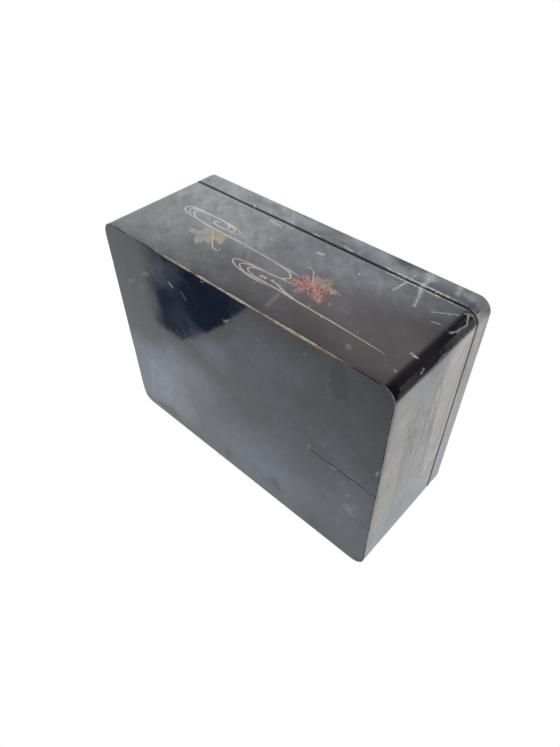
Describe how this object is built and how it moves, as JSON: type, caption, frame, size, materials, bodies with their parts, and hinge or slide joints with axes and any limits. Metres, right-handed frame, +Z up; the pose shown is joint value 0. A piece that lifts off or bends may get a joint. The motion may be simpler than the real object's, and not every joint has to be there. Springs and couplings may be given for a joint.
{
  "type": "ink box",
  "caption": "Lacquered wooden ink box with a flush lift-off lid and a lift-out tray that beds an inkstone, ink stick, water dropper and brushes over a store below.",
  "frame": {"origin": "middle of the underside", "axes": "+Z up through the lid, +X along the long side, -Y towards the decorated long side"},
  "size_m": [0.24, 0.177, 0.098],
  "materials": {
    "outer_lacquer": "black lacquer over wood, dulled and rubbed, with gold line decoration",
    "inner_lacquer": "satin black lacquer over wood",
    "slate": "honed slate",
    "ink_cake": "moulded soot and glue, satin",
    "copper": "patinated copper",
    "bamboo": "polished bamboo",
    "horn": "polished horn",
    "hair": "dressed hair"
  },
  "bodies": {
    "box": {"base_board": "outer_lacquer", "front_wall": "outer_lacquer", "rear_wall": "outer_lacquer", "left_wall": "outer_lacquer", "right_wall": "outer_lacquer", "front_rim": "inner_lacquer", "rear_rim": "inner_lacquer", "left_rim": "inner_lacquer", "right_rim": "inner_lacquer", "left_bearer": "inner_lacquer", "right_bearer": "inner_lacquer"},
    "lid": {"lid_board": "outer_lacquer", "lid_front_wall": "outer_lacquer", "lid_rear_wall": "outer_lacquer", "lid_left_wall": "outer_lacquer", "lid_right_wall": "outer_lacquer"},
    "tray": {"tray_floor": "inner_lacquer", "tray_front_wall": "inner_lacquer", "tray_rear_wall": "inner_lacquer", "tray_left_wall": "inner_lacquer", "tray_right_wall": "inner_lacquer", "long_divider": "inner_lacquer", "cross_divider": "inner_lacquer", "stick_divider": "inner_lacquer", "dropper_divider": "inner_lacquer", "left_brush_rest": "inner_lacquer", "right_brush_rest": "inner_lacquer"},
    "inkstone": {"inkstone": "slate"},
    "ink_stick": {"ink_stick": "ink_cake"},
    "dropper": {"dropper_vessel": "copper", "dropper_top": "copper"},
    "brush_a": {"brush_handle_a": "bamboo", "brush_ring_a": "horn", "brush_tuft_a": "hair"},
    "brush_b": {"brush_handle_b": "bamboo", "brush_ring_b": "horn", "brush_tuft_b": "hair"}
  },
  "joints": [
    {"name": "lid_lift", "type": "slide", "parent": "box", "child": "lid", "axis": [0, 0, 1], "range_m": [0, 0.22]},
    {"name": "tray_lift", "type": "slide", "parent": "box", "child": "tray", "axis": [0, 0, 1], "range_m": [0, 0.11]},
    {"name": "inkstone_lift", "type": "slide", "parent": "tray", "child": "inkstone", "axis": [0, 0, 1], "range_m": [0, 0.055]},
    {"name": "ink_stick_lift", "type": "slide", "parent": "tray", "child": "ink_stick", "axis": [0, 0, 1], "range_m": [0, 0.077]},
    {"name": "dropper_lift", "type": "slide", "parent": "tray", "child": "dropper", "axis": [0, 0, 1], "range_m": [0, 0.088]},
    {"name": "brush_a_lift", "type": "slide", "parent": "tray", "child": "brush_a", "axis": [0, 0, 1], "range_m": [0, 0.066]},
    {"name": "brush_b_lift", "type": "slide", "parent": "tray", "child": "brush_b", "axis": [0, 0, 1], "range_m": [0, 0.066]}
  ],
  "couplings": [
    {"joint": "tray_lift", "follows": "lid_lift", "ratio": 0.5},
    {"joint": "inkstone_lift", "follows": "lid_lift", "ratio": 0.25},
    {"joint": "ink_stick_lift", "follows": "lid_lift", "ratio": 0.35},
    {"joint": "dropper_lift", "follows": "lid_lift", "ratio": 0.4},
    {"joint": "brush_a_lift", "follows": "lid_lift", "ratio": 0.3},
    {"joint": "brush_b_lift", "follows": "lid_lift", "ratio": 0.3}
  ]
}
